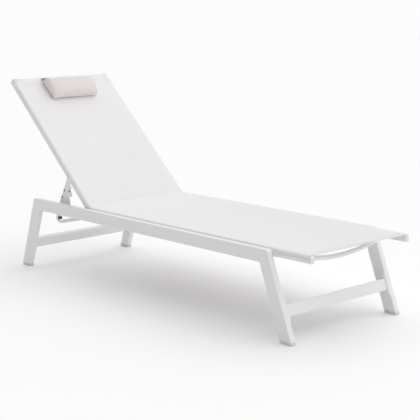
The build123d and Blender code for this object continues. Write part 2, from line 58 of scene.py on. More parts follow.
Y_AXIS = Vector((0, 1, 0))
Z_AXIS = Vector((0, 0, 1))

# ---- places read from the frame ------------------------------------------------------------
# Lengths are in metres. On the backrest, s runs up from the hinge axis, y to the left and n
# out of its upper surface. The seat uses the same n, measured from the hinge's height.
HINGE_JOINT = next(joint for joint in frame["joints"] if joint["name"] == "back_hinge")
HINGE = Vector(HINGE_JOINT["pos_m"])
BACK_ANGLE = math.radians(-HINGE_JOINT["range_deg"][0])
UP_BACK = Vector((-math.cos(BACK_ANGLE), 0, math.sin(BACK_ANGLE)))
OUT_OF_BACK = Vector((math.sin(BACK_ANGLE), 0, math.cos(BACK_ANGLE)))

rail_low, rail_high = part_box("seat_rail_left")
RAIL_TOP_N = rail_high.z - HINGE.z
RAIL_INNER_Y = rail_low.y
RAIL_OUTER_Y = rail_high.y
SEAT_FRONT_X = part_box("seat_rail_cap_front_left")[1].x


def back_coords(point):
    """(s, n) of a point on the backrest."""
    arm = Vector(point) - HINGE
    return arm.dot(UP_BACK), arm.dot(OUT_OF_BACK)


def node_back_range(node):
    """Lowest and highest s and n that a backrest node reaches."""
    pairs = [back_coords(vertex.co) for vertex in frame["nodes"][node].data.vertices]
    along = [pair[0] for pair in pairs]
    out = [pair[1] for pair in pairs]
    return min(along), max(along), min(out), max(out)


def on_back(s, y, n):
    return HINGE + UP_BACK * s + OUT_OF_BACK * n + Vector((0, y, 0))


def on_seat(x, y, n):
    return Vector((x, y, HINGE.z + n))


BAR_RANGE = node_back_range("back_top_bar")
BAR_S = (BAR_RANGE[0] + BAR_RANGE[1]) / 2
BAR_N = (BAR_RANGE[2] + BAR_RANGE[3]) / 2
BAR_RADIUS = (BAR_RANGE[1] - BAR_RANGE[0]) / 2
CAP_S = node_back_range("back_rail_left")[1]  # where the back rail ends and its cap shows
PILLOW_RANGE = node_back_range("headrest_pillow")
PILLOW_HALF_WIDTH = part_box("headrest_pillow")[1].y

# ---- cloth dimensions ----------------------------------------------------------------------
SLING_THICKNESS = 0.0009
SLING_LIFT = 0.0006  # middle of the cloth above the rail
RAIL_SHOULDER = 0.008  # radius of the rail's top outer edge
KEDER_DROP = 0.012  # the groove for the sling's edge, below the top of the rail
SEAT_SAG = 0.005
BACK_SAG = 0.0015
HEM = 0.024
BEND_REACH = 0.024  # the sling bends within this distance of the hinge axis
FRONT_INSET = 0.0035  # the fold of the front hem, behind the ends of the seat rails' caps
FRONT_RECESS = 0.006  # how far the middle of the front hem stands back
HEM_SAG = 0.00125
STRAP_HALF_WIDTH = 0.108

WHITE = (0.845, 0.845, 0.85)


# ---- node helpers ----------------------------------------------------------------------------
class Nodes:
    """Short calls for building one material's node tree."""

    def __init__(self, name):
        self.material = bpy.data.materials.new(name)
        self.material.use_nodes = True
        self.tree = self.material.node_tree
        self.shader = self.tree.nodes["Principled BSDF"]

    def add(self, kind, **settings):
        node = self.tree.nodes.new(kind)
        for key, value in settings.items():
            setattr(node, key, value)
        return node

    def link(self, source, target):
        self.tree.links.new(source, target)

    def set(self, **values):
        for key, value in values.items():
            self.shader.inputs[key.replace("_", " ")].default_value = value

    def math(self, operation, first, second=None):
        node = self.add("ShaderNodeMath", operation=operation)
        for socket, value in zip(node.inputs, (first, second)):
            if value is None:
                continue
            if isinstance(value, (int, float)):
                socket.default_value = value
            else:
                self.link(value, socket)
        return node.outputs[0]

    def coordinates(self, kind, scale=(1, 1, 1)):
        source = self.add("ShaderNodeTexCoord").outputs[kind]
        mapping = self.add("ShaderNodeMapping")
        mapping.inputs["Scale"].default_value = scale
        self.link(source, mapping.inputs["Vector"])
        return mapping.outputs[0]

    def noise(self, vector, scale, detail=2.0):
        node = self.add("ShaderNodeTexNoise")
        node.inputs["Scale"].default_value = scale
        node.inputs["Detail"].default_value = detail
        self.link(vector, node.inputs["Vector"])
        return node.outputs["Fac"]

    def spread(self, value, low, high, from_low=0.0, from_high=1.0):
        node = self.add("ShaderNodeMapRange")
        node.inputs["From Min"].default_value = from_low
        node.inputs["From Max"].default_value = from_high
        node.inputs["To Min"].default_value = low
        node.inputs["To Max"].default_value = high
        self.link(value, node.inputs["Value"])
        return node.outputs[0]

    def tint(self, value, dark, light):
        """Colour between dark and light, by a value from 0 to 1."""
        node = self.add("ShaderNodeMix", data_type="RGBA")
        node.inputs["A"].default_value = (*dark, 1)
        node.inputs["B"].default_value = (*light, 1)
        self.link(value, node.inputs["Factor"])
        return node.outputs["Result"]

    def bump(self, height, strength, distance, under=None):
        node = self.add("ShaderNodeBump")
        node.inputs["Strength"].default_value = strength
        node.inputs["Distance"].default_value = distance
        self.link(height, node.inputs["Height"])
        if under is not None:
            self.link(under, node.inputs["Normal"])
        return node.outputs[0]

    def finish(self, color=None, roughness=None, normal=None):
        for value, name in ((color, "Base Color"), (roughness, "Roughness"), (normal, "Normal")):
            if value is not None:
                self.link(value, self.shader.inputs[name])
        return self.material


def scaled(color, factor):
    return tuple(min(1.0, part * factor) for part in color)


def powder_coat():
    nodes = Nodes("white_powder_coat")
    place = nodes.coordinates("Object")
    broad = nodes.noise(place, 9.0, 3.0)
    peel = nodes.noise(place, 620.0, 1.0)
    grain = nodes.noise(place, 2600.0, 0.0)
    color = nodes.tint(nodes.spread(broad, 0, 1, 0.3, 0.7), scaled(WHITE, 0.975), WHITE)
    roughness = nodes.spread(peel, 0.36, 0.5, 0.3, 0.7)
    normal = nodes.bump(grain, 0.05, 0.0002, nodes.bump(peel, 0.12, 0.0005))
    nodes.set(Coat_Weight=0.15, Coat_Roughness=0.25, Specular_IOR_Level=0.45)
    return nodes.finish(color, roughness, normal)


def weave_height(nodes, place):
    """Plain weave of round yarns, one yarn for each unit of the coordinates."""
    split = nodes.add("ShaderNodeSeparateXYZ")
    nodes.link(place, split.inputs[0])
    checks = nodes.add("ShaderNodeTexChecker")
    checks.inputs["Scale"].default_value = 1.0
    nodes.link(place, checks.inputs["Vector"])
    across, along = (
        nodes.math("ABSOLUTE", nodes.math("SINE", nodes.math("MULTIPLY", split.outputs[i], math.pi)))
        for i in (0, 1)
    )
    pick = nodes.add("ShaderNodeMix", data_type="FLOAT")
    nodes.link(checks.outputs["Fac"], pick.inputs["Factor"])
    nodes.link(across, pick.inputs["A"])
    nodes.link(along, pick.inputs["B"])
    return nodes.math("POWER", pick.outputs["Result"], 0.6)


def woven(name, color, pitch, gap_shade, sheen, depth):
    """Woven cloth whose yarns follow the UV map, which is in metres."""
    nodes = Nodes(name)
    yarns = nodes.coordinates("UV", (1 / pitch, 1 / pitch, 1))
    height = weave_height(nodes, yarns)
    metres = nodes.coordinates("UV")
    slub = nodes.noise(nodes.coordinates("UV", (900, 14, 1)), 1.0, 2.0)
    pick_slub = nodes.noise(nodes.coordinates("UV", (14, 900, 1)), 1.0, 2.0)
    broad = nodes.noise(metres, 7.0, 3.0)
    streaks = nodes.math("ADD", nodes.spread(slub, 0, 0.35), nodes.spread(pick_slub, 0, 0.35))
    cloudy = nodes.math("ADD", streaks, nodes.spread(broad, 0, 0.3))
    base = nodes.tint(nodes.spread(cloudy, 0, 1, 0.3, 0.7), scaled(color, 0.965), scaled(color, 1.015))
    shade = nodes.spread(height, gap_shade, 1.0, 0.0, 0.75)
    mix = nodes.add("ShaderNodeMix", data_type="RGBA", blend_type="MULTIPLY")
    mix.inputs["Factor"].default_value = 1.0
    nodes.link(base, mix.inputs["A"])
    nodes.link(shade, mix.inputs["B"])
    normal = nodes.bump(height, 0.55, depth)
    roughness = nodes.spread(height, 0.85, 0.6)
    nodes.set(Sheen_Weight=sheen, Sheen_Roughness=0.5, Specular_IOR_Level=0.3)
    return nodes.finish(mix.outputs["Result"], roughness, normal)


def plastic(name, color, low, high, scale):
    nodes = Nodes(name)
    place = nodes.coordinates("Object")
    texture = nodes.noise(place, scale, 2.0)
    scuffs = nodes.noise(place, 45.0, 4.0)
    tint = nodes.tint(nodes.spread(scuffs, 0, 1, 0.35, 0.7), scaled(color, 0.88), scaled(color, 1.08))
    return nodes.finish(tint, nodes.spread(scuffs, low, high), nodes.bump(texture, 0.25, 0.0003))


def steel(name, dark, light):
    nodes = Nodes(name)
    nodes.set(Metallic=1.0)
    brushed = nodes.noise(nodes.coordinates("Object", (4000, 300, 4000)), 1.0, 2.0)
    spots = nodes.noise(nodes.coordinates("Object"), 160.0, 3.0)
    color = nodes.tint(spots, dark, light)
    return nodes.finish(color, nodes.spread(brushed, 0.24, 0.42), nodes.bump(brushed, 0.08, 0.0001))


def thread():
    nodes = Nodes("polyester_thread")
    twist = nodes.noise(nodes.coordinates("Object", (1, 1, 1)), 1800.0, 1.0)
    color = nodes.tint(twist, (0.7, 0.695, 0.69), (0.82, 0.815, 0.81))
    nodes.set(Roughness=0.55)
    return nodes.finish(color, None, nodes.bump(twist, 0.4, 0.0002))


MATERIALS = {
    "white_frame": powder_coat(),
    "sling_fabric": woven("sling_mesh", (0.88, 0.865, 0.87), 0.0013, 0.82, 0.05, 0.0004),
    "pillow_fabric": woven("pillow_cover", (0.8, 0.755, 0.74), 0.0009, 0.84, 0.12, 0.0003),
    "foot_plastic": plastic("grey_foot_plastic", (0.7, 0.7, 0.695), 0.45, 0.62, 900.0),
    "cap_plastic": plastic("white_cap_plastic", (0.8, 0.8, 0.8), 0.4, 0.55, 1200.0),
    "rod_plastic": plastic("white_rod_plastic", (0.74, 0.74, 0.74), 0.4, 0.55, 1200.0),
    "bush_plastic": plastic("black_bush_plastic", (0.05, 0.048, 0.045), 0.4, 0.6, 1500.0),
    "stainless": steel("stainless_steel", (0.52, 0.52, 0.53), (0.68, 0.68, 0.69)),
    "dark_steel": steel("blackened_steel", (0.05, 0.05, 0.05), (0.1, 0.1, 0.1)),
    "thread": thread(),
}
for subpart in frame["record"]["subparts"]:
    mesh = frame["nodes"][subpart["node"]].data
    mesh.materials.clear()
    mesh.materials.append(MATERIALS[subpart["material_slot"]])


# ---- mesh helpers ----------------------------------------------------------------------------
def make_mesh(name, points, faces, material, uvs=None, smooth=True):
    mesh = bpy.data.meshes.new(name)
    mesh.from_pydata([tuple(point) for point in points], [], faces)
    mesh.validate()
    mesh.materials.append(MATERIALS[material])
    if uvs is not None:
        layer = mesh.uv_layers.new(name="metres")
        for loop in mesh.loops:
            layer.data[loop.index].uv = uvs[loop.vertex_index]
    for polygon in mesh.polygons:
        polygon.use_smooth = smooth
    piece = bpy.data.objects.new(name, mesh)
    bpy.context.scene.collection.objects.link(piece)
    return piece


def outward(piece):
    """Turns a closed piece's faces outwards."""
    shape = bmesh.new()
    shape.from_mesh(piece.data)
    bmesh.ops.recalc_face_normals(shape, faces=shape.faces)
    shape.to_mesh(piece.data)
    shape.free()


def tube(name, path, radius, material, closed=False, sides=8, ripple=0.0):
    """A round tube along points. ripple makes its radius rise and fall, as on a weld bead."""
    count = len(path)
    points = []
    for i, point in enumerate(path):
        before = path[(i - 1) % count] if closed or i > 0 else path[i]
        after = path[(i + 1) % count] if closed or i < count - 1 else path[i]
        tangent = (after - before).normalized()
        helper = Vector((0, 1, 0)) if abs(tangent.y) < 0.8 else Vector((1, 0, 0))
        first = tangent.cross(helper).normalized()
        second = tangent.cross(first).normalized()
        size = radius * (1 + ripple * math.cos(i * math.pi))
        for k in range(sides):
            turn = math.tau * k / sides
            points.append(point + first * size * math.cos(turn) + second * size * math.sin(turn))
    faces = []
    for i in range(count if closed else count - 1):
        j = (i + 1) % count
        for k in range(sides):
            m = (k + 1) % sides
            faces.append((i * sides + k, i * sides + m, j * sides + m, j * sides + k))
    if not closed:
        faces.append(tuple(reversed(range(sides))))
        faces.append(tuple((count - 1) * sides + k for k in range(sides)))
    piece = make_mesh(name, points, faces, material)
    outward(piece)
    return piece


def join(name, pieces):
    """Joins pieces of one material into one object."""
    material = pieces[0].data.materials[0]
    shape = bmesh.new()
    for piece in pieces:
        shape.from_mesh(piece.data)
        bpy.data.objects.remove(piece)
    mesh = bpy.data.meshes.new(name)
    shape.to_mesh(mesh)
    shape.free()
    mesh.materials.append(material)
    joined = bpy.data.objects.new(name, mesh)
    bpy.context.scene.collection.objects.link(joined)
    return joined


def stitches(name, path, normals, length=0.0035, gap=0.0013, radius=0.00035):
    """A row of raised stitches along points, each lifted a little along the normals."""
    lengths = [0.0]
    for first, second in zip(path, path[1:]):
        lengths.append(lengths[-1] + (second - first).length)

    def at(distance):
        for i in range(1, len(path)):
            if distance <= lengths[i] or i == len(path) - 1:
                share = (distance - lengths[i - 1]) / (lengths[i] - lengths[i - 1])
                place = path[i - 1].lerp(path[i], share)
                return place, normals[i - 1].lerp(normals[i], share)

    rows = []
    start = gap
    while start + length < lengths[-1]:
        points = []
        for share in (0.0, 0.2, 0.5, 0.8, 1.0):
            place, normal = at(start + share * length)
            lift = radius * (1.0 if 0.1 < share < 0.9 else -1.0)
            points.append(place + normal * lift)
        rows.append(tube(name, points, radius, "thread", sides=5))
        start += length + gap
    return join(name, rows)


# ---- the sling: one sheet from the top bar over the back and seat to the foot end ------------
def arc(centre, radius, start, end, count):
    """Points of an arc in an (a, b) plane, angles in degrees."""
    points = []
    for i in range(count):
        turn = math.radians(start + (end - start) * i / (count - 1))
        points.append((centre[0] + radius * math.cos(turn), centre[1] + radius * math.sin(turn)))
    return points


TOP_N = RAIL_TOP_N + SLING_LIFT
EDGE_Y = RAIL_INNER_Y - 0.0008  # half the cloth's width where it passes between the rails
BAR_WRAP = BAR_RADIUS + SLING_LIFT


def sling_columns():
    """Half of the sling's section from the middle outwards, as (y, drop below the top)."""
    columns = [(EDGE_Y * i / 20, 0.0) for i in range(21)]
    corner = RAIL_OUTER_Y - RAIL_SHOULDER
    columns += [(RAIL_INNER_Y + (corner - RAIL_INNER_Y) * i / 3, 0.0) for i in range(4)]
    bend = arc((corner, -RAIL_SHOULDER - SLING_LIFT), RAIL_SHOULDER + SLING_LIFT, 78, 0, 8)
    columns += [(y, -drop) for y, drop in bend]
    outer = RAIL_OUTER_Y + SLING_LIFT
    columns += [(outer, KEDER_DROP * 0.9), (outer - 0.0002, KEDER_DROP - 0.0002)]
    columns += [(outer - 0.0012, KEDER_DROP + 0.0006), (outer - 0.0032, KEDER_DROP + 0.0006)]
    return columns


def front_sag_share(setback):
    """How much of the seat's sag there is at a distance behind the front hem."""
    return setback / 0.16 + 0.25


def sling_stations():
    """The sling's line, as (place, outward direction, sag, whether it covers the rails)."""
    stations = []
    pocket = [(BAR_S - 0.036, TOP_N - 0.0016), (BAR_S - 0.026, TOP_N - 0.0085)]
    pocket += [(BAR_S - 0.014, BAR_N - BAR_WRAP + 0.0035)]
    for s, n in pocket:
        stations.append((on_back(s, 0, n), -OUT_OF_BACK, 0.0, False))
    for s, n in arc((BAR_S, BAR_N), BAR_WRAP, -100, 88, 16):
        out = (UP_BACK * (s - BAR_S) + OUT_OF_BACK * (n - BAR_N)).normalized()
        stations.append((on_back(s, 0, n), out, 0.0, False))
    back_top = BAR_S - 0.0005
    back_low = BEND_REACH
    count = 64
    for i in range(count + 1):
        share = i / count
        s = back_top + (back_low - back_top) * share
        sag = BACK_SAG * min(1.0, (back_top - s) / 0.12, max(0.0, (s - back_low) / 0.06 + 0.3))
        covers = s < CAP_S
        stations.append((on_back(s, 0, TOP_N), OUT_OF_BACK, max(0.0, sag), covers))
    # The bend over the hinge is an arc between the back's line and the seat's.
    half = BACK_ANGLE / 2
    crease_s = TOP_N * math.tan(half)
    reach = back_low - crease_s
    radius = reach / math.tan(half)
    tangent_x = HINGE.x + crease_s + reach
    centre = on_seat(tangent_x, 0, TOP_N + radius)
    bend_count = 10
    for i in range(1, bend_count):
        turn = BACK_ANGLE * (1 - i / bend_count)
        out = Vector((math.sin(turn), 0, math.cos(turn)))
        stations.append((centre - out * radius, out, 0.0015, True))
    seat_front = SEAT_FRONT_X - FRONT_INSET
    count = 96
    for i in range(count + 1):
        x = tangent_x + (seat_front - tangent_x) * i / count
        sag = SEAT_SAG * min(1.0, (x - tangent_x) / 0.06 + 0.3, front_sag_share(seat_front - x))
        stations.append((on_seat(x, 0, TOP_N), Z_AXIS, sag, True))
    hem_radius = 0.0011
    for dx, dz in arc((0, -hem_radius), hem_radius, 60, -80, 5):
        out = Vector((dx, 0, dz + hem_radius)).normalized()
        stations.append((on_seat(seat_front + dx, 0, TOP_N + dz), out, HEM_SAG, False))
    for share in (0.3, 0.65, 1.0):
        place = on_seat(seat_front - HEM * share, 0, TOP_N - 2 * hem_radius)
        stations.append((place, -Z_AXIS, HEM_SAG, False))
    return stations


def sling_place(station, y, drop):
    place, out, sag, _ = station
    across = max(0.0, 1 - (abs(y) / RAIL_INNER_Y) ** 2)
    point = place + Vector((0, y, 0)) - out * drop
    down = out if out.z > 0.5 else Z_AXIS
    point -= down * sag * across
    near_front = max(0.0, 1 - (SEAT_FRONT_X - point.x) / 0.08)
    point.x -= FRONT_RECESS * across * near_front**2
    return point


def build_sling():
    half = sling_columns()
    columns = [(-y, drop) for y, drop in reversed(half[1:])] + half
    inner = [abs(y) <= EDGE_Y + 1e-6 for y, _ in columns]
    stations = sling_stations()
    width = [0.0]
    for (y0, d0), (y1, d1) in zip(columns, columns[1:]):
        width.append(width[-1] + math.hypot(y1 - y0, d1 - d0))
    length = [0.0]
    for first, second in zip(stations, stations[1:]):
        length.append(length[-1] + (second[0] - first[0]).length)
    points = []
    uvs = []
    index = {}
    for i, station in enumerate(stations):
        for j, (y, drop) in enumerate(columns):
            if inner[j] or station[3]:
                index[i, j] = len(points)
                points.append(sling_place(station, y, drop))
                uvs.append((width[j], length[i]))
    faces = []
    for i in range(len(stations) - 1):
        for j in range(len(columns) - 1):
            corners = [(i, j), (i, j + 1), (i + 1, j + 1), (i + 1, j)]
            if all(corner in index for corner in corners):
                faces.append([index[corner] for corner in corners])
    sling = make_mesh("sling", points, faces, "sling_fabric", uvs)
    thickness = sling.modifiers.new("cloth_thickness", "SOLIDIFY")
    thickness.thickness = SLING_THICKNESS
    thickness.offset = 0
    area = sum(polygon.area for polygon in sling.data.polygons)
    return sling, width[-1], length[-1], area


sling, sling_width, sling_length, sling_area = build_sling()
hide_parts("seat_sling", "back_sling")
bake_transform(sling)


def row_across(place, normal, half_width, name):
    """A row of stitches across the lounger, at place(y)."""
    ys = [half_width * (i / 12 - 1) for i in range(25)]
    return stitches(name, [place(y) for y in ys], [normal] * len(ys))


FRONT_ROW_SETBACKS = (0.007, HEM - 0.004)
front_rows = []
for row, setback in enumerate(FRONT_ROW_SETBACKS, start=1):
    sag = SEAT_SAG * min(1.0, front_sag_share(setback))
    place = on_seat(SEAT_FRONT_X - FRONT_INSET - setback, 0, TOP_N + SLING_THICKNESS / 2)
    station = (place, Z_AXIS, sag, True)
    name = f"front_hem_stitches_{row}"
    front_rows.append(row_across(lambda y: sling_place(station, y, 0), Z_AXIS, EDGE_Y, name))
for piece in front_rows:
    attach(piece, "frame")

pocket_stitches = row_across(
    lambda y: on_back(BAR_S - 0.031, y, TOP_N + SLING_THICKNESS / 2 + 0.00005),
    OUT_OF_BACK,
    EDGE_Y,
    "top_pocket_stitches",
)
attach(pocket_stitches, "backrest")


# ---- headrest: a cloth-simulated pillow, its end seams, and the strap over the top bar --------
PILLOW_SHRINK = 0.003  # room that the simulated filling then takes up
PILLOW_CAP = 0.005
PILLOW_VOXEL = 0.004
PILLOW_SEAM_N = 0.38  # share of the height at which the cover's end seams lie
FLAP_SEAM_S = PILLOW_RANGE[1] - 0.034  # where the flap is sewn along the pillow's crest
# The pillow's section is a D on a flat underside, fullest towards its upper edge. Each pair is
# a share of its length and a share of its height.
PILLOW_SECTION = [(0.03, 0), (0, 0.12), (0.0, 0.42), (0.05, 0.66), (0.18, 0.83), (0.4, 0.95)]
PILLOW_SECTION += [(0.62, 1.0), (0.8, 0.97), (0.92, 0.8), (0.98, 0.5), (1.0, 0.2), (1.0, 0)]
# Towards each end the section draws in. Each pair is its size where the fullness is 0, and what
# the fullness adds.
PILLOW_LENGTHS = (0.84, 0.16)
PILLOW_HEIGHTS = (0.3, 0.7)
PILLOW_DRAW_SHARE = 0.6  # the share of the section's length that stays where it is
PILLOW_LOWER_TRIM = 0.035  # how much narrower the pillow is along its lower edge


def rounded(points, passes=3):
    """Cuts the corners of an open line, again and again, and keeps its ends."""
    for _ in range(passes):
        finer = [points[0]]
        for (a, b), (c, d) in zip(points, points[1:]):
            finer.append((0.75 * a + 0.25 * c, 0.75 * b + 0.25 * d))
            finer.append((0.25 * a + 0.75 * c, 0.25 * b + 0.75 * d))
        points = finer + [points[-1]]
    return points


def build_pillow():
    """The section carried from end to end, drawn in towards the seam round each end."""
    low_s, high_s, low_n, high_n = PILLOW_RANGE
    section = rounded(PILLOW_SECTION)
    spans = 48
    points = []
    for j in range(spans + 1):
        across = math.sin(math.pi / 2 * (2 * j / spans - 1))
        fullness = 0.5 + 0.5 * (1 - abs(across) ** 9) ** 0.5
        y = across * (PILLOW_HALF_WIDTH - PILLOW_SHRINK)
        length_here = PILLOW_LENGTHS[0] + PILLOW_LENGTHS[1] * fullness
        height_here = PILLOW_HEIGHTS[0] + PILLOW_HEIGHTS[1] * fullness
        for share, rise in section:
            share = PILLOW_DRAW_SHARE + (share - PILLOW_DRAW_SHARE) * length_here
            y_here = y * (1 - PILLOW_LOWER_TRIM * (1 - share))
            above_seam = rise - PILLOW_SEAM_N
            if above_seam > 0:
                above_seam *= height_here
            s = low_s + PILLOW_SHRINK + (high_s - low_s - 2 * PILLOW_SHRINK) * share
            n = low_n + (high_n - low_n - PILLOW_SHRINK) * (PILLOW_SEAM_N + above_seam)
            points.append(on_back(s, y_here, n))
    size = len(section)
    faces = [tuple(range(size)), tuple(spans * size + k for k in reversed(range(size)))]
    for j in range(spans):
        for k in range(size):
            m = (k + 1) % size
            here = j * size
            after = here + size
            faces.append((here + k, here + m, after + m, after + k))
    pillow = make_mesh("headrest_cover", points, faces, "pillow_fabric")
    outward(pillow)
    return pillow


def remesh(piece, voxel):
    modifier = piece.modifiers.new("even_mesh", "REMESH")
    modifier.mode = "VOXEL"
    modifier.voxel_size = voxel
    bake_modifiers(piece)


def bake_modifiers(piece):
    bpy.context.view_layer.update()
    shown = piece.evaluated_get(bpy.context.evaluated_depsgraph_get())
    mesh = bpy.data.meshes.new_from_object(shown)
    piece.modifiers.clear()
    piece.data = mesh


def puff(piece, pressure, cap, frames):
    """Inflates a closed piece as cloth and keeps each point within cap of where it was."""
    scene = bpy.context.scene
    start = [vertex.co.copy() for vertex in piece.data.vertices]
    cloth = piece.modifiers.new("filling", "CLOTH")
    cloth.settings.use_pressure = True
    cloth.settings.uniform_pressure_force = pressure
    cloth.settings.effector_weights.gravity = 0
    cloth.settings.tension_stiffness = 12
    cloth.settings.compression_stiffness = 12
    cloth.settings.bending_stiffness = 0.3
    cloth.settings.quality = 6
    cloth.point_cache.frame_start = 1
    cloth.point_cache.frame_end = frames
    for number in range(1, frames + 1):
        scene.frame_set(number)
    bake_modifiers(piece)
    scene.frame_set(1)
    for vertex, rest in zip(piece.data.vertices, start):
        step = vertex.co - rest
        if step.length > cap:
            vertex.co = rest + step * (cap / step.length)


def metre_uvs(piece, first, second, third):
    """UVs in metres, laid on each face by the two axes that it faces least."""
    mesh = piece.data
    layer = mesh.uv_layers.new(name="metres")
    for polygon in mesh.polygons:
        facing = [abs(polygon.normal.dot(axis)) for axis in (first, second, third)]
        drop = facing.index(max(facing))
        pair = [axis for k, axis in enumerate((first, second, third)) if k != drop]
        for loop in polygon.loop_indices:
            place = mesh.vertices[mesh.loops[loop].vertex_index].co
            layer.data[loop].uv = (place.dot(pair[0]), place.dot(pair[1]))


END_SEAM_INSET = 0.013
RAY_START = 0.2  # a distance that is well outside the pillow


def end_seam(piece, side, count=72):
    """The edge round one end of the pillow, as a smooth loop of points on its surface."""
    surface = BVHTree.FromObject(piece, bpy.context.evaluated_depsgraph_get())
    low_s, high_s, low_n, high_n = PILLOW_RANGE
    middle_s = (low_s + high_s) / 2
    middle_n = low_n + PILLOW_SEAM_N * (high_n - low_n)
    end_y = side * (PILLOW_HALF_WIDTH - END_SEAM_INSET)
    loop = []
    for k in range(count):
        turn = math.tau * k / count
        direction = UP_BACK * math.cos(turn) + OUT_OF_BACK * math.sin(turn)
        outside = on_back(middle_s, end_y, middle_n) + direction * RAY_START
        loop.append(surface.ray_cast(outside, -direction)[0])
    for _ in range(3):
        loop = [(loop[i - 1] + loop[i] * 2 + loop[(i + 1) % count]) / 4 for i in range(count)]
    return loop


pillow = build_pillow()
remesh(pillow, PILLOW_VOXEL)
puff(pillow, 4.0, PILLOW_CAP, 20)
pillow_floor = PILLOW_RANGE[2] + 0.0003
for vertex in pillow.data.vertices:
    s, n = back_coords(vertex.co)
    if n < pillow_floor:
        vertex.co += OUT_OF_BACK * (pillow_floor - n)
rounding = pillow.modifiers.new("smooth", "SUBSURF")
rounding.levels = 1
rounding.render_levels = 1
bake_modifiers(pillow)
for polygon in pillow.data.polygons:
    polygon.use_smooth = True
metre_uvs(pillow, Y_AXIS, UP_BACK, OUT_OF_BACK)
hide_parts("headrest_pillow")
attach(pillow, "backrest")
for side_name, side in (("right", -1), ("left", 1)):
    loop = end_seam(pillow, side)
    piping = tube(f"headrest_piping_{side_name}", loop, 0.0011, "pillow_fabric", closed=True)
    metre_uvs(piping, Y_AXIS, UP_BACK, OUT_OF_BACK)
    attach(piping, "backrest")


FLAP_LIFT = SLING_THICKNESS / 2 + 0.0003
FLAP_WRAP = BAR_WRAP + SLING_THICKNESS / 2 + FLAP_LIFT
FLAP_STEPS = 16
pillow_surface = BVHTree.FromObject(pillow, bpy.context.evaluated_depsgraph_get())


def pillow_top(s, y):
    """Height of the pillow's upper side at s and y, or of the sling beside it."""
    hit = pillow_surface.ray_cast(on_back(s, y, PILLOW_RANGE[3] + 0.1), -OUT_OF_BACK)[0]
    return back_coords(hit)[1] if hit else PILLOW_RANGE[2]


def flap_line(y):
    """The flap from its seam, tight over the pillow, to the top of the bar."""
    reach = BAR_S - FLAP_SEAM_S
    spots = [FLAP_SEAM_S + reach * i / FLAP_STEPS for i in range(FLAP_STEPS)]
    heights = [(s, pillow_top(s, y) + FLAP_LIFT) for s in spots] + [(BAR_S, BAR_N + FLAP_WRAP)]
    tight = []
    for s, n in heights:
        while len(tight) > 1:
            (s0, n0), (s1, n1) = tight[-2:]
            if (n1 - n0) * (s - s0) > (n - n0) * (s1 - s0):
                break
            tight.pop()
        tight.append((s, n))
    line = []
    for s, _ in heights:
        for (s0, n0), (s1, n1) in zip(tight, tight[1:]):
            if s0 <= s <= s1:
                line.append((s, n0 + (n1 - n0) * (s - s0) / (s1 - s0)))
                break
    line[0] = (line[0][0], line[0][1] - FLAP_LIFT)
    return line


def build_strap():
    """The flap that holds the pillow: sewn to it, over the top bar and down behind."""
    behind = arc((BAR_S, BAR_N), FLAP_WRAP, 78, -100, 18)
    behind_n = BAR_N - FLAP_WRAP
    for down, inward in ((0.02, 0.0002), (0.045, 0.0002), (0.074, 0.0008)):
        behind.append((BAR_S - down, behind_n + inward))
    columns = [STRAP_HALF_WIDTH * (i / 16 - 1) for i in range(33)]
    lines = [flap_line(y) + behind for y in columns]
    count = len(lines[0])
    middle = lines[len(lines) // 2]
    runs = [0.0]
    for (s0, n0), (s1, n1) in zip(middle, middle[1:]):
        runs.append(runs[-1] + math.hypot(s1 - s0, n1 - n0))
    points = []
    uvs = []
    for i in range(count):
        for y, line in zip(columns, lines):
            points.append(on_back(line[i][0], y, line[i][1]))
            uvs.append((y, runs[i]))
    width = len(columns)
    faces = []
    for i in range(count - 1):
        for j in range(width - 1):
            here = i * width + j
            after = here + width
            faces.append((here, after, after + 1, here + 1))
    strap = make_mesh("headrest_flap", points, faces, "sling_fabric", uvs)
    thickness = strap.modifiers.new("cloth_thickness", "SOLIDIFY")
    thickness.thickness = SLING_THICKNESS
    thickness.offset = 0
    return strap, runs[-1]


strap, strap_length = build_strap()
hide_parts("headrest_strap")
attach(strap, "backrest")
FLAP_ROW_S = FLAP_SEAM_S + 0.004
seam_row = row_across(
    lambda y: on_back(FLAP_ROW_S, y, pillow_top(FLAP_ROW_S, y) + FLAP_LIFT + SLING_THICKNESS / 2),
    OUT_OF_BACK,
    STRAP_HALF_WIDTH - 0.002,
    "headrest_flap_stitches",
)
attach(seam_row, "backrest")


# ---- weld beads --------------------------------------------------------------------------------
WELD_RADIUS = 0.0016
WELD_STEP = 0.0016
WELD_STANDOFF = 0.0004  # how far a bead's centre line stands off the face that the tube meets
CROSSBAR_WELD_INSET = 0.0024  # the same, from the middle of a crossbar's plate


def weld_ring(name, centre, first, second, half_first, half_second, corner, body):
    """A bead round a tube's end. The tube's section is half_first by half_second."""
    path = []
    for quarter, (a, b) in enumerate(((1, 1), (-1, 1), (-1, -1), (1, -1))):
        middle = (a * (half_first - corner), b * (half_second - corner))
        for p, q in arc(middle, corner, quarter * 90, quarter * 90 + 90, 9):
            path.append(centre + first * p + second * q)
    even = []
    for i, point in enumerate(path):
        following = path[(i + 1) % len(path)]
        count = max(1, round((following - point).length / WELD_STEP))
        even += [point.lerp(following, k / count) for k in range(count)]
    if len(even) % 2:
        even.pop()
    bead = tube(name, even, WELD_RADIUS, "white_frame", closed=True, sides=7, ripple=0.12)
    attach(bead, body)


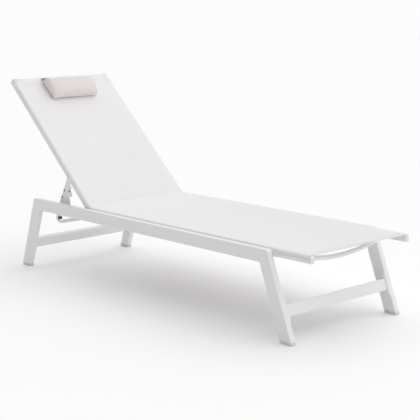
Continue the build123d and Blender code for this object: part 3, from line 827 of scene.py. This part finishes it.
LEG_SLOPE = math.atan2(0.114, 0.302)  # the legs' splay over their height
CROSSBAR_HALF = (0.021, 0.010)
CROSSBAR_CORNER = 0.003
for side_name, side in (("right", -1), ("left", 1)):
    for node in ("foot_spreader", "seat_rear_spreader"):
        low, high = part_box(node)
        radius = (high.x - low.x) / 2
        vertices = frame["nodes"][node].data.vertices
        edge = [vertex.co.z for vertex in vertices if vertex.co.y * side > RAIL_INNER_Y - 0.0005]
        middle_z = (max(edge) + min(edge)) / 2
        half_height = (max(edge) - min(edge)) / 2
        centre = Vector(((low.x + high.x) / 2, side * (RAIL_INNER_Y - WELD_STANDOFF), middle_z))
        name = f"weld_{node}_{side_name}"
        weld_ring(name, centre, X_AXIS, Z_AXIS, radius, half_height, radius, "frame")
    low_s, high_s, low_n, high_n = node_back_range("back_lower_bar")
    radius = (high_s - low_s) / 2
    end_y = side * (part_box("back_lower_bar")[1].y - WELD_STANDOFF)
    bar_end = on_back((low_s + high_s) / 2, end_y, (low_n + high_n) / 2)
    name = f"weld_back_bar_{side_name}"
    weld_ring(name, bar_end, UP_BACK, OUT_OF_BACK, radius, radius, radius, "backrest")
    for end_name, end in (("front", 1), ("rear", -1)):
        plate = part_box(f"crossbar_plate_{end_name}_{side_name}")
        centre = (plate[0] + plate[1]) / 2
        centre.y = side * (abs(centre.y) - CROSSBAR_WELD_INSET)
        along = Vector((end * math.sin(LEG_SLOPE), 0, -math.cos(LEG_SLOPE)))
        square = Vector((math.cos(LEG_SLOPE), 0, end * math.sin(LEG_SLOPE)))
        name = f"weld_crossbar_{end_name}_{side_name}"
        weld_ring(name, centre, along, square, *CROSSBAR_HALF, CROSSBAR_CORNER, "frame")

# ---- floor, lights and camera -------------------------------------------------------------------
FLOOR_HALF = 30  # half the floor's side
floor_corners = [(x * FLOOR_HALF, y * FLOOR_HALF, 0) for x, y in ((-1, -1), (1, -1), (1, 1), (-1, 1))]
floor_mesh = bpy.data.meshes.new("floor")
floor_mesh.from_pydata(floor_corners, [], [(0, 1, 2, 3)])
floor_nodes = Nodes("pale_floor")
floor_nodes.set(Base_Color=(0.97, 0.966, 0.96, 1), Roughness=0.9, Specular_IOR_Level=0.1)
floor_mesh.materials.append(floor_nodes.material)
floor = bpy.data.objects.new("floor", floor_mesh)
bpy.context.scene.collection.objects.link(floor)


SKY_BRIGHTNESS = 0.71
SKY_SLANT = (0.13, 0.42, 0.0)  # how much brighter the sky is towards the foot end and the left


def soft_sun(name, place, width, power):
    """Even light from the direction of place, as wide as width degrees across."""
    light = bpy.data.lights.new(name, "SUN")
    light.angle = math.radians(width)
    light.energy = power
    lamp = bpy.data.objects.new(name, light)
    lamp.location = place
    lamp.rotation_euler = Vector(place).to_track_quat("Z", "Y").to_euler()
    bpy.context.scene.collection.objects.link(lamp)


soft_sun("overhead", (0.0, 0.4, 3.0), 100, 0.95)

# The sky is a soft box all round, brighter on one side, and the camera sees it as plain white.
world = bpy.data.worlds.new("studio")
world.use_nodes = True
sky = world.node_tree
soft_sky = sky.nodes["Background"]
slant = sky.nodes.new("ShaderNodeVectorMath")
slant.operation = "DOT_PRODUCT"
slant.inputs[1].default_value = SKY_SLANT
sky.links.new(sky.nodes.new("ShaderNodeTexCoord").outputs["Generated"], slant.inputs[0])
brightness = sky.nodes.new("ShaderNodeMath")
brightness.inputs[1].default_value = SKY_BRIGHTNESS
sky.links.new(slant.outputs["Value"], brightness.inputs[0])
sky.links.new(brightness.outputs[0], soft_sky.inputs["Strength"])
soft_sky.inputs["Color"].default_value = (1, 1, 1, 1)
plain_sky = sky.nodes.new("ShaderNodeBackground")
plain_sky.inputs["Color"].default_value = (0.98, 0.98, 0.98, 1)
choice = sky.nodes.new("ShaderNodeMixShader")
sky.links.new(sky.nodes.new("ShaderNodeLightPath").outputs["Is Camera Ray"], choice.inputs[0])
sky.links.new(soft_sky.outputs[0], choice.inputs[1])
sky.links.new(plain_sky.outputs[0], choice.inputs[2])
sky.links.new(choice.outputs[0], sky.nodes["World Output"].inputs["Surface"])
bpy.context.scene.world = world
bpy.context.scene.view_settings.view_transform = "Standard"

AZIMUTH = math.radians(49.08)
ELEVATION = math.radians(10.99)
ROLL = math.radians(-0.92)
DISTANCE = 4.277
TARGET = Vector((0.0245, 0.0608, 0.2677))
SENSOR = 36.0
LENS = 93.56
SHIFT = (0.0102, 0.0197)
backward = Vector(
    (
        math.cos(ELEVATION) * math.sin(AZIMUTH),
        -math.cos(ELEVATION) * math.cos(AZIMUTH),
        math.sin(ELEVATION),
    )
)
right = Vector((math.cos(AZIMUTH), math.sin(AZIMUTH), 0))
up = backward.cross(right)
rolled_right = right * math.cos(ROLL) + up * math.sin(ROLL)
rolled_up = up * math.cos(ROLL) - right * math.sin(ROLL)
camera_data = bpy.data.cameras.new("camera")
camera_data.sensor_width = SENSOR
camera_data.lens = LENS
camera_data.shift_x, camera_data.shift_y = SHIFT
camera = bpy.data.objects.new("camera", camera_data)
pose = Matrix((rolled_right, rolled_up, backward)).transposed().to_4x4()
pose.translation = TARGET + backward * DISTANCE
camera.matrix_world = pose
bpy.context.scene.collection.objects.link(camera)
bpy.context.scene.camera = camera
